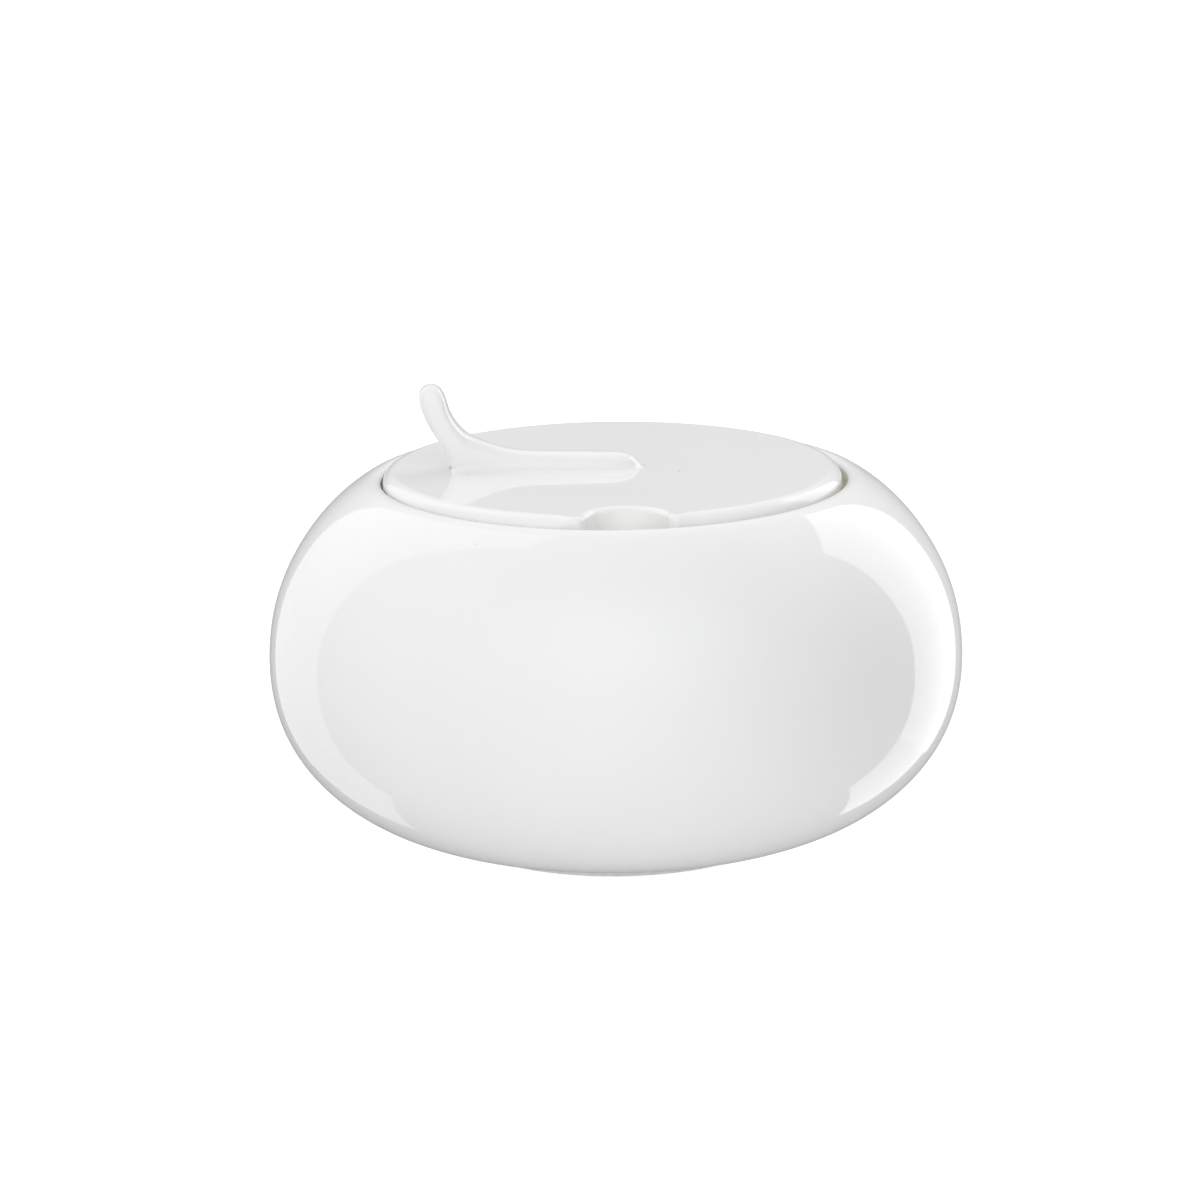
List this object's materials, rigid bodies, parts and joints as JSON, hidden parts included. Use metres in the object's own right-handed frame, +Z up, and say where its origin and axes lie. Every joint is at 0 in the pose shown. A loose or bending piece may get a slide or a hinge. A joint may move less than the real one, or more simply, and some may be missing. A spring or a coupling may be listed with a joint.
{
  "type": "sugar bowl",
  "caption": "squat round porcelain sugar bowl with a flat inset lid, a spoon notch in the lid's edge and a low ridge handle with a raised tip",
  "frame": {"origin": "centre of the foot ring, on the table", "axes": "+Z up along the bowl's axis; the handle runs out along -X; the spoon notch opens towards -Y"},
  "size_m": [0.1102, 0.1102, 0.0734],
  "materials": {
    "bowl_glaze": "gloss",
    "lid_glaze": "gloss",
    "handle_glaze": "gloss"
  },
  "bodies": {
    "bowl": {"bowl": "bowl_glaze"},
    "lid": {"lid_plate": "lid_glaze", "lid_handle": "handle_glaze"}
  },
  "joints": [
    {"name": "lid_lift", "type": "slide", "parent": "bowl", "child": "lid", "axis": [0, 0, 1], "range_m": [0, 0.05]}
  ]
}
